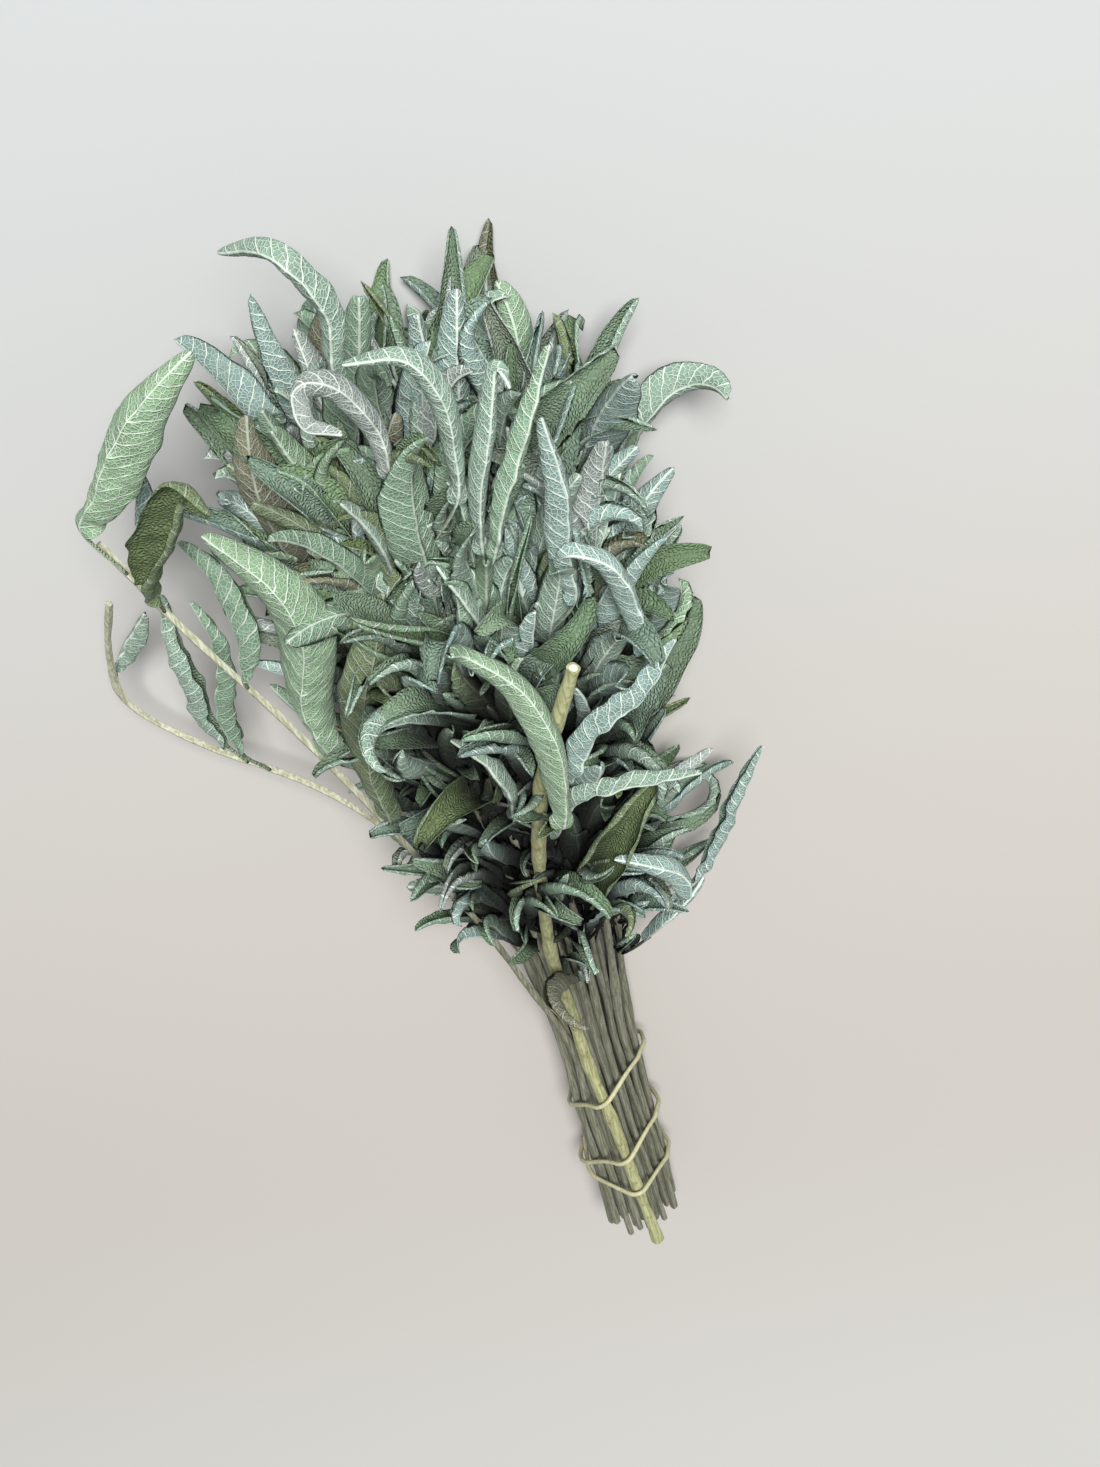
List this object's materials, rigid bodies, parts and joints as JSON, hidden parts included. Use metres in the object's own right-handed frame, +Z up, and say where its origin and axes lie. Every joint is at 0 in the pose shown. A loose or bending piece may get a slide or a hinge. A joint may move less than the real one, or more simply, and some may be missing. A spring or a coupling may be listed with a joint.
{
  "type": "sage bunch",
  "caption": "Tied bunch of dried garden sage lying on its side: leafy grey-green sprigs fan out above bare square stems held by rubber bands.",
  "frame": {"origin": "middle of the bounding box's underside, on the surface that the bunch lies on", "axes": "+Y from the cut ends to the leafy crown, +Z up, away from the surface"},
  "size_m": [0.2068, 0.4462, 0.114],
  "materials": {
    "dried_sage": null,
    "branch_bark": "matt green-brown bark with a white pith at the cut end",
    "band_rubber": "smooth natural rubber"
  },
  "bodies": {
    "root": {"cut_branch": "branch_bark", "rubber_band_lower": "band_rubber", "rubber_band_upper": "band_rubber", "sprig_01": "dried_sage", "sprig_02": "dried_sage", "sprig_03": "dried_sage", "sprig_04": "dried_sage", "sprig_05": "dried_sage", "sprig_06": "dried_sage", "sprig_07": "dried_sage", "sprig_08": "dried_sage", "sprig_09": "dried_sage", "sprig_10": "dried_sage", "sprig_11": "dried_sage", "sprig_12": "dried_sage", "sprig_13": "dried_sage", "sprig_14": "dried_sage", "sprig_15": "dried_sage", "sprig_16": "dried_sage", "sprig_17": "dried_sage", "sprig_18": "dried_sage", "sprig_19": "dried_sage", "sprig_20": "dried_sage", "sprig_21": "dried_sage", "sprig_22": "dried_sage", "sprig_23": "dried_sage", "sprig_24": "dried_sage", "sprig_25": "dried_sage", "sprig_26": "dried_sage", "sprig_27": "dried_sage", "sprig_28": "dried_sage", "sprig_29": "dried_sage", "sprig_30": "dried_sage", "sprig_31": "dried_sage", "sprig_32": "dried_sage", "sprig_33": "dried_sage", "sprig_34": "dried_sage", "sprig_35": "dried_sage", "sprig_36": "dried_sage", "sprig_37": "dried_sage", "sprig_38": "dried_sage", "sprig_39": "dried_sage", "sprig_40": "dried_sage", "sprig_41": "dried_sage", "sprig_42": "dried_sage", "sprig_43": "dried_sage", "sprig_44": "dried_sage", "sprig_45": "dried_sage", "sprig_46": "dried_sage", "sprig_47": "dried_sage", "sprig_48": "dried_sage", "sprig_49": "dried_sage", "sprig_50": "dried_sage", "sprig_51": "dried_sage", "sprig_low": "dried_sage", "sprig_outer": "dried_sage"}
  },
  "joints": []
}
